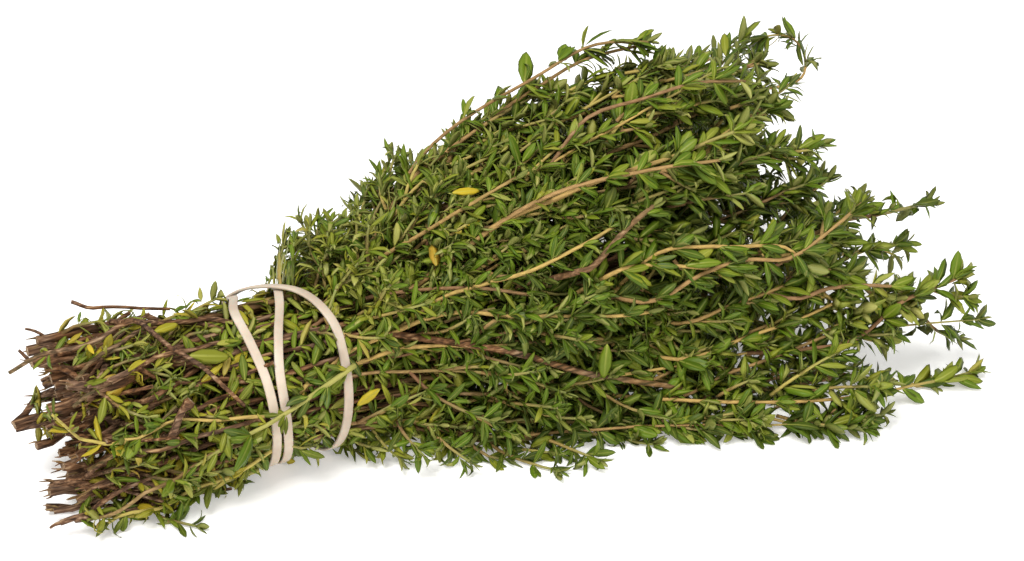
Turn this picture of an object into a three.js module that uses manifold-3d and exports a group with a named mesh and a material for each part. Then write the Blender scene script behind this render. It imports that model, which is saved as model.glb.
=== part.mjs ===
// A bunch of fresh thyme, tied with one rubber band and lying on a flat surface.
// Millimetres. +X runs from the cut woody ends to the leafy tips, and +Z is up. While the pieces are made,
// x = 0 lies under the band, y = 0 on the bunch's axis and z = 0 on the surface.
// Every sprig is one plant piece: a four-sided stem with the side shoots and leaves that grew on it.
import * as THREE from "three";
import { mergeVertices } from "three/addons/utils/BufferGeometryUtils.js";
import Module from "manifold-3d";

// Driving dimensions -----------------------------------------------------------------------------

const SPRIGS = 50;
const GOLDEN_ANGLE = THREE.MathUtils.degToRad(137.508); // spreads the stems evenly inside the band

// The waist, where the band holds the stems in a round bunch from WAIST_FROM to WAIST_TO.
const WAIST_RADIUS = 22.3; // from the bunch's axis to the outermost stem axes
const FLATTENING = 0.93; // the bunch's height there, as a share of its width
const WAIST_FROM = -10;
const WAIST_TO = 21;

// The cut ends, which lie in a low heap.
const BUTT = { near: 18, far: 30, top: 49 }; // its half widths and height
const BUTT_BLEND = 48; // length over which the round bunch turns into the heap
const BUTT_REACH = [47, 62]; // shortest and longest stem end, measured from the band
const BUTT_SLANT = 6; // how much further the ends on the -Y side reach

// The leafy fan, which widens towards the tips.
const FAN = { near: 25, far: 55, top: 46, length: 110 }; // what it gains on each side over its length
const FAN_OPENING = 0.62; // below 1 the fan opens quickly at first and then more slowly
const FAN_BLEND = 42;
const FAN_REACH = 190; // where the longest ordinary sprig ends
const FAN_ROUNDING = 0.32; // how much shorter the sprigs at its sides and top are
const FAN_RAGGED = 0.82; // the shortest sprig beside the longest, in one part of the fan
const SHORT_SPRIG = 0.66; // every other sprig on the outside is this much shorter
const OUTSIDE_FROM = 0.7; // where the outside starts, as a share of the waist's radius
const SHOULDER = 0.7; // how square the heap's shoulders are: 1 is an ellipse
const RIM = 0.985; // where the outermost stems stand, as a share of the waist's radius

const GROUND_GAP = 1.7; // height of the lowest stem axes above the surface
const STEM_RADIUS = [1.5, 1.1, 0.5]; // at the cut end, the waist and the tip
const STEM_SPREAD = [0.75, 1.3]; // how thick one sprig is beside another
const WAIST_SHARE = 0.3; // how far along a stem the waist lies
const STEM_STEPS = 11;
const SWAY = 1.1; // how far a stem wavers
const LEAFY_FROM = 0.38; // how far along its length a sprig's first side shoot grows
const LEAFY_TO = 0.86;
const LAST_PAIR = 0.96; // and its last pair of leaves
const SHOOT_RADIUS = [0.65, 0.35];
const SHOOT_ANGLE = THREE.MathUtils.degToRad(38);
const SHOOT_LENGTH = [15, 25];
const LEAF = { length: 8.5, width: 3, thickness: 0.7, root: 0.5 }; // root is how deep it sits in its stem
const LEAF_LEAN = 0.85; // how far a pair of leaves opens: 1 is 45 degrees
const CLEARANCE = 0.35; // least gap between two pieces of the bunch

const BAND = { width: 3, thickness: 0.9, radius: 24.2, turns: 3, stepsPerTurn: 24 };

// The bunch's axis at the waist is as high as the band's flat underside lets it lie.
const WAIST_CENTRE = (BAND.radius + BAND.thickness) * Math.cos(Math.PI / BAND.stepsPerTurn);
const WAIST_TOP = (WAIST_CENTRE + WAIST_RADIUS) * FLATTENING;

// Colours, as sRGB.
const BARK = 0x6b5446;
const STEM_GREEN = 0x8a7f45;
const LEAF_GREEN = 0x5c7a33;
const LATEX = 0xd8c6b4;

// The rubber band's three turns, as [degrees round the bunch from its underside, millimetres along the
// bunch, millimetres lifted where it crosses over another turn]. The last point meets the first.
const BAND_ROUTE = [
  [0, -0.9, 0],
  [60, -3.6, 0],
  [90, -4.5, 0],
  [123, -5, 0],
  [150, -5.6, 0],
  [180, -4.8, 0],
  [213, 0.4, 0],
  [262, 2.6, 0],
  [310, 3, 0],
  [360, 2.9, 0],
  [420, 0, 0],
  [450, -1.2, 0],
  [483, -1, 0],
  [510, 2.5, 0],
  [540, 8.5, 0],
  [573, 13, 0],
  [630, 15.2, 0],
  [720, 15.2, 0],
  [780, 16, 0],
  [843, 18, 0],
  [872, 18.5, 0.2],
  [900, 14.5, 1.5],
  [933, 5.2, 1.5],
  [975, -0.2, 1.5],
  [1010, -2, 1],
  [1045, -1.6, 0],
];

// Sprigs that stand out: where the tip of the stem lies, the points of a curl that it goes on into, or
// how far the cut end reaches. Anything left out follows the rule for an ordinary sprig.
const NOTABLE = {
  4: { tip: [214, -12, 30] },
  15: { tip: [210, -8, 16] },
  38: { tip: [202, -56, 15] },
  33: { tip: [198, -62, 3] },
  46: { tip: [149, -70, 3] },
  16: { tip: [206, 44, 46], curl: [[210, 49, 49], [206, 54, 51], [197, 56, 50]] },
  32: { butt: 61 },
  13: { butt: 64 },
};

// Woody twigs that lie across the cut ends: a radius, then the route as points of the form
// [x, degrees round the bunch from its underside, height above the outermost stems].
const CROSSED_TWIGS = [
  { radius: 1, route: [[-38, 190, 3.6], [-31, 166, 5.2], [-22, 138, 6.2], [-13, 112, 3.6]] },
  { radius: 1, route: [[-46, 142, 3], [-27, 155, 3], [-10, 163, 3.2]] },
  { radius: 1.5, route: [[-34, 108, 3.4], [-30, 114, 3.4], [-26, 121, 3.6]] },
  { radius: 0.7, route: [[-45, 206, 8.5], [-38, 202, 5.5], [-20, 198, 4.2]] },
];

// Short leafy shoots that lie loose on the bunch and over the band, in the same form.
const LOOSE_SHOOTS = [
  { radius: 0.8, route: [[20, 118, 4], [8, 109, 5], [-6, 98, 5], [-17, 91, 3.6], [-28, 88, 3.2]] },
  { radius: 0.7, route: [[-8, 50, 3.6], [-22, 46, 3.4], [-36, 50, 3.2]] },
];

// Small helpers ----------------------------------------------------------------------------------

const wasm = await Module();
wasm.setup();
const { clamp, lerp, smoothstep } = THREE.MathUtils;

// A number from 0 to 1 that is always the same for one piece and one purpose.
function vary(index, purpose) {
  const wave = Math.sin(index * 12.9898 + purpose * 78.233) * 43758.5453;
  return wave - Math.floor(wave);
}

function solidOf(geometry) {
  const bare = new THREE.BufferGeometry();
  bare.setAttribute("position", geometry.getAttribute("position"));
  bare.setIndex(geometry.index);
  const merged = mergeVertices(bare, 1e-4);
  return new wasm.Manifold(
    new wasm.Mesh({
      numProp: 3,
      vertProperties: merged.getAttribute("position").array,
      triVerts: new Uint32Array(merged.index.array),
    }),
  );
}

function geometryOf(solid) {
  const { vertProperties, triVerts } = solid.getMesh();
  const geometry = new THREE.BufferGeometry();
  geometry.setAttribute("position", new THREE.BufferAttribute(vertProperties, 3));
  geometry.setIndex(new THREE.BufferAttribute(triVerts, 1));
  geometry.computeVertexNormals();
  return geometry;
}

// The closed surface over rings of equally many points. An open sweep gets a cap at each end.
function skin(rings, closed) {
  const sides = rings[0].length;
  const positions = rings.flat().flatMap((point) => [point.x, point.y, point.z]);
  const index = [];
  const spans = closed ? rings.length : rings.length - 1;
  for (let ring = 0; ring < spans; ring++) {
    const next = (ring + 1) % rings.length;
    for (let side = 0; side < sides; side++) {
      const beside = (side + 1) % sides;
      const [a, b] = [ring * sides + side, ring * sides + beside];
      const [c, d] = [next * sides + beside, next * sides + side];
      index.push(a, b, c, a, c, d);
    }
  }
  const last = (rings.length - 1) * sides;
  for (let side = 1; !closed && side < sides - 1; side++) {
    index.push(0, side + 1, side, last, last + side, last + side + 1);
  }
  const geometry = new THREE.BufferGeometry();
  geometry.setAttribute("position", new THREE.Float32BufferAttribute(positions, 3));
  geometry.setIndex(index);
  return geometry;
}

// A tapering rod with a polygon section, through the given points.
function rod(points, sides, radiusAt) {
  const last = points.length - 1;
  let normal = new THREE.Vector3(0, 1, 0);
  const rings = points.map((point, step) => {
    const forward = chord(points, step);
    normal = normal.clone().addScaledVector(forward, -normal.dot(forward)).normalize();
    const binormal = new THREE.Vector3().crossVectors(forward, normal);
    const radius = radiusAt(step / last);
    return Array.from({ length: sides }, (_, side) => {
      const turn = ((side + 0.5) / sides) * Math.PI * 2;
      return point
        .clone()
        .addScaledVector(normal, radius * Math.cos(turn))
        .addScaledVector(binormal, radius * Math.sin(turn));
    });
  });
  return solidOf(skin(rings, false));
}

// The direction of a row of points at one of them.
function chord(points, step) {
  const after = points[Math.min(points.length - 1, step + 1)];
  return after.clone().sub(points[Math.max(0, step - 1)]).normalize();
}

// A place part of the way along a row of points, and the direction there.
function partWay(points, t) {
  const reach = t * (points.length - 1);
  const step = Math.min(points.length - 2, Math.floor(reach));
  const root = points[step].clone().lerp(points[step + 1], reach - step);
  const forward = points[step + 1].clone().sub(points[step]).normalize();
  return { root, forward };
}

// The bunch's shape ------------------------------------------------------------------------------

// Where a stem stands in the bunch: across runs from -1 to 1 from the -Y side to the +Y side, column is
// the half height of the bunch there, and rise runs from 0 to 1 from the bottom of it to the top.
function standing(index) {
  const radius = Math.sqrt((index + 0.5) / SPRIGS);
  const across = radius * Math.cos(index * GOLDEN_ANGLE);
  const up = radius * Math.sin(index * GOLDEN_ANGLE);
  const column = Math.sqrt(1 - across * across);
  return { across, rise: (up / column + 1) / 2, column, rim: radius };
}

// The middle of a stem that stands there, at distance x along the bunch.
function place(stand, x) {
  const { across, rise, column } = stand;
  const side = across < 0 ? "near" : "far";
  const roundY = WAIST_RADIUS * across;
  const roundZ = (WAIST_CENTRE + WAIST_RADIUS * column * (2 * rise - 1)) * FLATTENING;
  const past = Math.max(0, x - WAIST_TO);
  const before = Math.max(0, WAIST_FROM - x);
  const spread = Math.pow(past / FAN.length, FAN_OPENING);
  const halfWidth = before > 0 ? BUTT[side] : WAIST_RADIUS + spread * FAN[side];
  const height = before > 0 ? BUTT.top : WAIST_TOP + spread * FAN.top;
  const blend = before > 0 ? smoothstep(before, 0, BUTT_BLEND) : smoothstep(past, 0, FAN_BLEND);
  const top = Math.max(GROUND_GAP, height * Math.pow(column, SHOULDER));
  return new THREE.Vector3(
    x,
    lerp(roundY, halfWidth * across, blend),
    lerp(roundZ, lerp(GROUND_GAP, top, rise), blend),
  );
}

// A point on the outside of the bunch, at an angle round it from its underside, lifted by some height.
function outside(x, degrees, lift) {
  const angle = THREE.MathUtils.degToRad(degrees);
  const across = -Math.sin(angle) * RIM;
  const column = Math.sqrt(1 - across * across);
  const rise = clamp((-Math.cos(angle) * RIM) / column / 2 + 0.5, 0, 1);
  const rim = place({ across, rise, column }, x);
  const outward = new THREE.Vector3(0, across, -Math.cos(angle)).normalize();
  return rim.addScaledVector(outward, lift);
}

function stemRoute(index) {
  const stand = standing(index);
  const notable = NOTABLE[index] ?? {};
  const buttEnd = notable.butt ?? lerp(...BUTT_REACH, vary(index, 1)) - BUTT_SLANT * stand.across;
  const roundness = Math.sqrt(1 - FAN_ROUNDING * (stand.across ** 2 + stand.rise ** 2));
  const short = stand.rim > OUTSIDE_FROM && index % 2 ? SHORT_SPRIG : 1;
  const reach = FAN_REACH * roundness * short * lerp(FAN_RAGGED, 1, vary(index, 2));
  const tip = notable.tip ? new THREE.Vector3(...notable.tip) : place(stand, reach);
  const stray = tip.clone().sub(place(stand, tip.x));
  if (!notable.tip) stray.set(0, lerp(-7, 7, vary(index, 3)), lerp(-5, 3, vary(index, 4)));
  const phase = vary(index, 5) * Math.PI * 2;
  const route = Array.from({ length: STEM_STEPS + 1 }, (_, step) => {
    const point = place(stand, lerp(-buttEnd, tip.x, step / STEM_STEPS));
    const out = Math.max(0, (point.x - WAIST_TO) / (tip.x - WAIST_TO));
    const sway = Math.min(1, Math.max(WAIST_FROM - point.x, point.x - WAIST_TO, 0) / 60);
    point.addScaledVector(stray, out ** 2);
    point.y += SWAY * sway * Math.sin(phase + point.x / 19);
    point.z += SWAY * sway * Math.sin(phase * 2 + point.x / 23);
    point.z = Math.max(point.z, GROUND_GAP);
    return point;
  });
  return [...route, ...(notable.curl ?? []).map((point) => new THREE.Vector3(...point))];
}

// Pieces -----------------------------------------------------------------------------------------

function stemSolid(index) {
  const thick = lerp(...STEM_SPREAD, vary(index, 6));
  const [butt, waist, tip] = STEM_RADIUS;
  return rod(stemRoute(index), 4, (t) => {
    const past = (t - WAIST_SHARE) / (1 - WAIST_SHARE);
    return thick * (past < 0 ? lerp(butt, waist, t / WAIST_SHARE) : lerp(waist, tip, past));
  });
}

function looseRoute(route) {
  return new THREE.CatmullRomCurve3(route.map((point) => outside(...point))).getPoints(6);
}

// A piece that lies on the outside of the bunch, and how much thinner its end is than its start.
function looseRod({ radius, route }, taper) {
  return rod(looseRoute(route), 4, (t) => lerp(radius, radius * taper, t));
}

function leafSolid(root, along, facing, size) {
  const side = new THREE.Vector3().crossVectors(facing, along).normalize();
  const face = new THREE.Vector3().crossVectors(along, side);
  const leaf = new THREE.OctahedronGeometry(0.5);
  leaf.scale(LEAF.length * size, LEAF.width * size, LEAF.thickness);
  leaf.translate((LEAF.length * size) / 2 - LEAF.root, 0, 0);
  leaf.applyMatrix4(new THREE.Matrix4().makeBasis(along, side, face).setPosition(root));
  return solidOf(leaf);
}

// Two opposite leaves that lean forward from a stem, at an angle round it.
function leafPair(root, forward, turn, size) {
  const across = new THREE.Vector3(0, Math.cos(turn), Math.sin(turn));
  across.addScaledVector(forward, -across.dot(forward)).normalize();
  return [1, -1].map((hand) => {
    const along = forward.clone().addScaledVector(across, hand * LEAF_LEAN).normalize();
    return leafSolid(root, along, forward, size);
  });
}

// A side shoot that leaves the stem at SHOOT_ANGLE and bends forward, with leaves at its end.
function shootSolid(root, forward, outward, length) {
  const start = forward
    .clone()
    .multiplyScalar(Math.cos(SHOOT_ANGLE))
    .addScaledVector(outward, Math.sin(SHOOT_ANGLE));
  const middle = root.clone().addScaledVector(start, length * 0.5);
  const end = middle.clone().addScaledVector(start, length * 0.35).addScaledVector(forward, length * 0.2);
  const heading = end.clone().sub(middle).normalize();
  const twig = rod([root, middle, end], 3, (t) => lerp(...SHOOT_RADIUS, t));
  const turn = Math.atan2(outward.z, outward.y) + Math.PI / 2;
  const leaves = [
    ...leafPair(middle, heading, turn, 0.85),
    leafSolid(end, heading, outward, 1),
  ];
  return leaves.reduce((solid, leaf) => solid.add(leaf), twig);
}

// The band is a flat strip wound three times round the bunch and closed on itself.
function bandSolid() {
  const whole = 360 * BAND.turns;
  const route = [...BAND_ROUTE, [whole, BAND_ROUTE[0][1], BAND_ROUTE[0][2]]];
  const spline = new THREE.CatmullRomCurve3(route.map((point) => new THREE.Vector3(...point)));
  const samples = spline.getPoints(route.length * 12);
  const steps = BAND.turns * BAND.stepsPerTurn;
  const rings = Array.from({ length: steps }, (_, step) => {
    const degrees = ((step + 0.5) / steps) * whole; // the middle of a flat facet lies at the underside
    const after = samples.findIndex((sample) => sample.x > degrees);
    const [a, b] = [samples[after - 1], samples[after]];
    const at = a.clone().lerp(b, (degrees - a.x) / (b.x - a.x));
    const angle = THREE.MathUtils.degToRad(degrees);
    const outward = new THREE.Vector3(0, -Math.sin(angle), -Math.cos(angle));
    const corner = (along, height) =>
      new THREE.Vector3(at.y + along, 0, WAIST_CENTRE)
        .addScaledVector(outward, BAND.radius + at.z + height)
        .multiply(new THREE.Vector3(1, 1, FLATTENING));
    const half = BAND.width / 2;
    return [
      corner(-half, 0),
      corner(-half, BAND.thickness),
      corner(half, BAND.thickness),
      corner(half, 0),
    ];
  });
  return solidOf(skin(rings, true));
}

// Adds a piece only where it keeps clear of every other sprig and of the surface.
function grow(solids, name, piece) {
  const box = piece.boundingBox();
  if (box.min[2] < 0) return;
  for (const [other, solid] of solids) {
    if (other === name) continue;
    const far = solid.boundingBox();
    const apart = [0, 1, 2].some(
      (axis) => box.min[axis] - CLEARANCE > far.max[axis] || far.min[axis] - CLEARANCE > box.max[axis],
    );
    if (!apart && piece.minGap(solid, CLEARANCE) < CLEARANCE) return;
  }
  solids.set(name, solids.get(name).add(piece));
}

function outwardFrom(point) {
  const middle = new THREE.Vector3(point.x, 0, Math.min(WAIST_CENTRE, point.z));
  return point.clone().sub(middle).setX(0).normalize();
}

// Leaves and side shoots along the leafy part of one sprig.
function dress(solids, name, index) {
  const route = stemRoute(index);
  const shoots = standing(index).rim > 0.55 ? 3 : 2;
  for (let shoot = 0; shoot < shoots; shoot++) {
    const t = lerp(LEAFY_FROM, LEAFY_TO, (shoot + vary(index, 20 + shoot) * 0.6) / shoots);
    const { root, forward } = partWay(route, t);
    const outward = outwardFrom(root);
    outward.applyAxisAngle(forward, lerp(-0.9, 0.9, vary(index, 30 + shoot)) + (shoot % 2 ? 0.5 : -0.5));
    outward.addScaledVector(forward, -outward.dot(forward)).normalize();
    const length = lerp(...SHOOT_LENGTH, vary(index, 40 + shoot));
    grow(solids, name, shootSolid(root, forward, outward, length));
  }
  leafyEnd(solids, name, route, vary(index, 7) * 3);
}

// A pair of leaves just before the end, and one leaf on the end itself.
function leafyEnd(solids, name, route, turn) {
  const { root, forward } = partWay(route, LAST_PAIR);
  for (const leaf of leafPair(root, forward, turn, 1)) {
    grow(solids, name, leaf);
  }
  grow(solids, name, leafSolid(route[route.length - 1], forward, new THREE.Vector3(0, 0, 1), 1));
}

// Assembly ---------------------------------------------------------------------------------------

const number = (index) => String(index + 1).padStart(2, "0");
const solids = new Map([["rubber_band", bandSolid()]]);
for (let index = 0; index < SPRIGS; index++) {
  solids.set(`sprig_${number(index)}`, stemSolid(index));
}
CROSSED_TWIGS.forEach((twig, index) => {
  solids.set(`crossed_twig_${index + 1}`, looseRod(twig, 0.75));
});
LOOSE_SHOOTS.forEach((shoot, index) => {
  solids.set(`loose_shoot_${index + 1}`, looseRod(shoot, 0.5));
});
for (let index = 0; index < SPRIGS; index++) {
  dress(solids, `sprig_${number(index)}`, index);
}
LOOSE_SHOOTS.forEach(({ route }, index) => {
  leafyEnd(solids, `loose_shoot_${index + 1}`, looseRoute(route), index + 1);
});

const LOOKS = {
  rubber_band: { color: LATEX, roughness: 0.55 },
  crossed_twig: { color: BARK, roughness: 0.9 },
  loose_shoot: { color: STEM_GREEN, roughness: 0.7 },
  sprig: { color: LEAF_GREEN, roughness: 0.7 },
};

const bunch = new THREE.Group();
for (const [name, solid] of solids) {
  const kind = Object.keys(LOOKS).find((start) => name.startsWith(start));
  const mesh = new THREE.Mesh(
    geometryOf(solid),
    new THREE.MeshStandardMaterial({ ...LOOKS[kind], metalness: 0 }),
  );
  mesh.name = name;
  bunch.add(mesh);
}

// The frame's origin is the middle of the bunch's footprint, on the surface.
const size = new THREE.Box3().setFromObject(bunch);
const middle = size.getCenter(new THREE.Vector3());
bunch.children.forEach((mesh) => mesh.position.set(-middle.x, -middle.y, -size.min.z));

export default bunch;
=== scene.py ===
"""A bunch of fresh thyme, tied with a rubber band and lying on a pale table.

The stems follow the same rules as the part's own solids: each sprig has a standing place in the round
bunch, and from it come its cut end, its way under the band and its tip in the fan. Here the stems get
their bark, branches and knots, and every leaf is grown at a node of a stem.
"""
import math

import bpy
import numpy as np
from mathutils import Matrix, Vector


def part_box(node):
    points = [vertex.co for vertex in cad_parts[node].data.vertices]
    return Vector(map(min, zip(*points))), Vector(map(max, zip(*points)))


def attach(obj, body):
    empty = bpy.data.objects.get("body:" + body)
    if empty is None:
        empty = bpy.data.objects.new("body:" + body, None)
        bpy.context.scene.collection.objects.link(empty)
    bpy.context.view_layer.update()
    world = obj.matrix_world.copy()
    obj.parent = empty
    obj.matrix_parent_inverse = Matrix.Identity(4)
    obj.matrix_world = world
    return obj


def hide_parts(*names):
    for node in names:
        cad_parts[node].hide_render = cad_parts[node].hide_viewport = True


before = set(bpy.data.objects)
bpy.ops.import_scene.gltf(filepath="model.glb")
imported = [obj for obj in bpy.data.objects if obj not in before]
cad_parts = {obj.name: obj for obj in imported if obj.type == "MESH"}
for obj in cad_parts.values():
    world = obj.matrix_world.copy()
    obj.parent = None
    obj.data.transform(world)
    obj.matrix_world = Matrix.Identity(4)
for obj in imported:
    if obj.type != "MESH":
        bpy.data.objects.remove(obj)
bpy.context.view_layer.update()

MM = 0.001

# The bunch, as the part has it -----------------------------------------

SPRIGS = 50
GOLDEN_ANGLE = math.radians(137.508)

WAIST_RADIUS = 22.3 * MM
FLATTENING = 0.93
WAIST_FROM = -10 * MM
WAIST_TO = 21 * MM

BUTT = {"near": 18 * MM, "far": 30 * MM, "top": 49 * MM}
BUTT_BLEND = 48 * MM
BUTT_REACH = (47 * MM, 62 * MM)
BUTT_SLANT = 6 * MM

FAN = {"near": 25 * MM, "far": 55 * MM, "top": 46 * MM, "length": 110 * MM}
FAN_OPENING = 0.62
FAN_BLEND = 42 * MM
FAN_REACH = 190 * MM
FAN_ROUNDING = 0.32
FAN_RAGGED = 0.82
SHORT_SPRIG = 0.66
OUTSIDE_FROM = 0.7
SHOULDER = 0.7
RIM = 0.985

GROUND_GAP = 1.7 * MM
STEM_RADIUS = (1.5 * MM, 1.1 * MM, 0.5 * MM)  # at the cut end, the waist and the tip
STEM_SPREAD = (0.52, 1.3)  # the thinnest and the thickest sprig, as a share of that
WAIST_SHARE = 0.3
STEM_STEPS = 11
BOW_FROM = 0.35  # how far along the fan a bowed stem leaves its way
STRAY_ASIDE = (-7, 7)  # how far a tip strays from its place, in millimetres
STRAY_UP = (-5, 3)
SWAY = 1.1 * MM
SWAY_WAVES = (19 * MM, 23 * MM)  # the lengths of its waves, sideways and up
SWAY_FULL = 60 * MM  # how far from the waist a stem sways in full

BAND_WIDTH = 3 * MM
BAND_THICKNESS = 0.9 * MM
BAND_RADIUS = 24.2 * MM
BAND_FACETS = 24  # of one turn of the part's own band, which lies on a flat one
WAIST_CENTRE = (BAND_RADIUS + BAND_THICKNESS) * math.cos(math.pi / BAND_FACETS)
WAIST_TOP = (WAIST_CENTRE + WAIST_RADIUS) * FLATTENING

# The band's three turns: degrees round the bunch from its underside, then millimetres along the bunch
# and millimetres lifted where it crosses over another turn. It closes on its first point.
BAND_TURNS = 3
BAND_ROUTE = (
    (0, -0.9, 0), (60, -3.6, 0), (90, -4.5, 0), (123, -5, 0), (150, -5.6, 0), (180, -4.8, 0),
    (213, 0.4, 0), (262, 2.6, 0), (310, 3, 0), (360, 2.9, 0), (420, 0, 0), (450, -1.2, 0),
    (483, -1, 0), (510, 2.5, 0), (540, 8.5, 0), (573, 13, 0), (630, 15.2, 0), (720, 15.2, 0),
    (780, 16, 0), (843, 18, 0), (872, 18.5, 0.2), (900, 14.5, 1.5), (933, 5.2, 1.5),
    (975, -0.2, 1.5), (1010, -2, 1), (1045, -1.6, 0),
)

# Sprigs that stand out, in millimetres: the stem's tip, the curl beyond it, how far its middle is bowed
# aside, how far the cut end reaches and how long the shoots at the tip are. A bushy one has that many
# shoots on its last stretch, and an open one has none half way along the fan.
NOTABLE = {
    4: {"tip": (214, -12, 30), "bushy": 2},
    15: {"tip": (210, -8, 16), "bushy": 2},
    38: {"tip": (202, -56, 15)},
    33: {"tip": (198, -62, 3), "bushy": 2, "bow": -18, "open": True},
    46: {"tip": (149, -70, 3)},
    16: {"tip": (203, 44, 47), "bushy": 0,
         "curl": ((208, 49, 52), (206, 53, 57), (199, 56, 59), (190, 58, 55))},
    32: {"butt": 61, "beyond": 6},
    13: {"butt": 64},
}
for sprig, reach in ((11, 6), (40, 6), (19, 6), (6, 14), (1, 18), (2, 18), (12, 20), (7, 20), (28, 24),
                     (20, 27)):
    NOTABLE[sprig] = {"beyond": reach}

# Twigs and shoots that lie on the bunch: a radius, then [x, degrees round the bunch, height], in
# millimetres.
CROSSED_TWIGS = (
    (1.0, ((-38, 190, 3.6), (-31, 166, 5.2), (-22, 138, 6.2), (-13, 112, 3.6))),
    (1.0, ((-46, 142, 3), (-27, 155, 3), (-10, 163, 3.2))),
    (1.5, ((-34, 108, 4.6), (-30, 114, 4.8), (-26, 121, 5))),
    (0.7, ((-45, 206, 8.5), (-38, 202, 5.5), (-20, 198, 4.2))),
)
LOOSE_SHOOTS = (
    (0.8, ((20, 118, 4), (8, 109, 5), (-6, 98, 5), (-17, 91, 3.6), (-28, 88, 3.2))),
    (0.7, ((-8, 50, 3.6), (-22, 46, 3.4), (-36, 50, 3.2))),
)

# Long branches that lie on the outside of the bunch: the sprig each grows from, its radius, how woody
# and how light it is, and its way as [x, degrees round the bunch, height]. Lengths are in millimetres.
LONG_BRANCHES = (
    (35, 1.1, 1.0, 0.3, ((22, 138, 2), (35, 128, 3), (57, 112, 3.5), (72, 104, 3.5), (86, 98, 3),
     (110, 90, 1))),
    (43, 0.62, 0.0, 0.6, ((34, 121, 2), (44, 118, 3), (53, 114, 3), (61, 112, 1))),
    (30, 0.66, 0.0, 0.6, ((21, 128, 2), (34, 131, 3), (41, 131, 4), (50, 127, 4), (66, 118, 4),
     (90, 111, 3.5), (101, 109, 1))),
    (27, 0.65, 0.2, 0.2, ((25, 160, 2), (38, 150, 3.5), (55, 132, 4), (69, 123, 2.5))),
    (22, 0.65, 0.0, 0.65, ((46, 136, 3), (54, 133, 4.5), (69, 130, 4.5), (83, 131, 4), (96, 133, 2))),
    (17, 0.65, 0.0, 0.6, ((90, 121, 3), (97, 121, 4.5), (111, 117, 4.5), (128, 111, 2))),
    (48, 0.65, 0.1, 0.4, ((78, 150, 3), (93, 147, 4.5), (113, 142, 4.5), (128, 139, 2))),
    (40, 0.65, 0.2, 0.5, ((30, 180, 3), (46, 168, 4.5), (54, 162, 5), (61, 160, 4.5), (75, 163, 2))),
    (9, 1.0, 0.7, 0.3, ((80, 125, 3.5), (86, 125, 4.5), (97, 131, 5), (106, 134, 3))),
    (30, 0.6, 0.0, 0.6, ((105, 122, 2), (117, 120, 4.5), (125, 118, 4.5), (140, 114, 4),
     (147, 108, 3))),
    (9, 0.65, 0.0, 0.4, ((98, 112, 3), (115, 114, 4.5), (128, 114, 4.5), (141, 112, 4.5),
     (155, 115, 4), (164, 118, 4))),
    (45, 0.6, 0.3, 0.4, ((64, 206, 2), (80, 200, 5.5), (102, 195, 7), (118, 195, 6), (131, 190, 2))),
    (45, 0.6, 0.1, 0.4, ((84, 202, 0), (100, 197, 3), (116, 196, 3), (131, 193, 0))),
    (40, 0.6, 0.3, 0.3, ((102, 175, 0), (118, 169, 1), (132, 165, 1), (145, 160, -1))),
    (38, 0.65, 0.0, 0.2, ((145, 92, 0), (163, 92, 1), (175, 97, 2), (185, 98, 2), (195, 99, 2))),
    (17, 0.65, 0.1, 0.3, ((142, 103, 0), (154, 103, 1), (165, 102, 1), (175, 100, 1))),
    (46, 0.65, 0.0, 0.3, ((132, 68, 0), (150, 70, 1), (165, 73, 1))),
    (20, 0.6, 0.0, 0.4, ((105, 88, 0), (122, 90, 0), (140, 92, 0), (158, 94, 0))),
    (20, 0.6, 0.0, 0.6, ((110, 96, -1), (128, 97, -1), (146, 98, -1), (160, 100, 0))),
    (28, 0.6, 0.1, 0.3, ((108, 80, -2), (125, 82, -2), (142, 84, -1), (156, 86, 0))),
    (12, 0.6, 0.0, 0.5, ((112, 103, -3), (128, 104, -3), (144, 105, -3), (158, 106, -2))),
    (25, 0.6, 0.2, 0.5, ((100, 92, -3), (118, 95, -4), (134, 97, -4), (150, 98, -4))),
    (46, 0.65, 0.0, 0.9, ((-4, 68, 2), (-12, 62, 3.5), (-24, 60, 4), (-38, 66, 3), (-52, 78, 2))),
    (43, 0.6, 0.1, 0.7, ((-3, 100, 2), (-14, 104, 3.5), (-30, 112, 3.5), (-46, 118, 2))),
    (43, 0.55, 0.0, 0.9, ((-48, 112, 2), (-54, 118, 3), (-60, 125, 3), (-65, 131, 4))),
    (40, 0.8, 1.0, 0.3, ((-14, 184, 2), (-35, 172, 4), (-54, 148, 3))),
    (35, 0.8, 1.0, 0.3, ((-14, 182, 2), (-35, 174, 4), (-54, 165, 4), (-61, 172, 1), (-69, 178, -3))),
    (48, 0.7, 1.0, 0.3, ((-15, 157, 2), (-29, 151, 4), (-43, 143, 3), (-57, 134, 2))),
    (38, 0.7, 1.0, 0.3, ((-14, 98, 2), (-29, 103, 3.5), (-40, 106, 3.5), (-56, 110, 2))),
    (33, 0.65, 0.6, 0.5, ((-12, 84, 2), (-25, 88, 3.5), (-42, 91, 3.5), (-56, 89, 2))),
)

# Single leaves that catch the eye: the sprig, [x, degrees, height], length, tint and age.
LONE_LEAVES = (
    (48, (57, 168, 7), 9, 0.8, 1.0), (27, (47, 148, 6), 8, 0.95, 1.0),
    (35, (-24, 148, 5), 12, 0.35, 0.9), (43, (-50, 112, 4), 8, 0.7, 1.0),
    (48, (-30, 170, 4), 9, 0.6, 0.8), (30, (86, 106, 6), 11, 0.5, 0.2),
    (43, (30, 124, 4), 10, 0.6, 0.3), (46, (-14, 84, 4), 9, 0.5, 0.6), (38, (26, 100, 4), 8, 0.7, 1.0),
)

# What grows on the stems -----------------------------------------------

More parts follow.
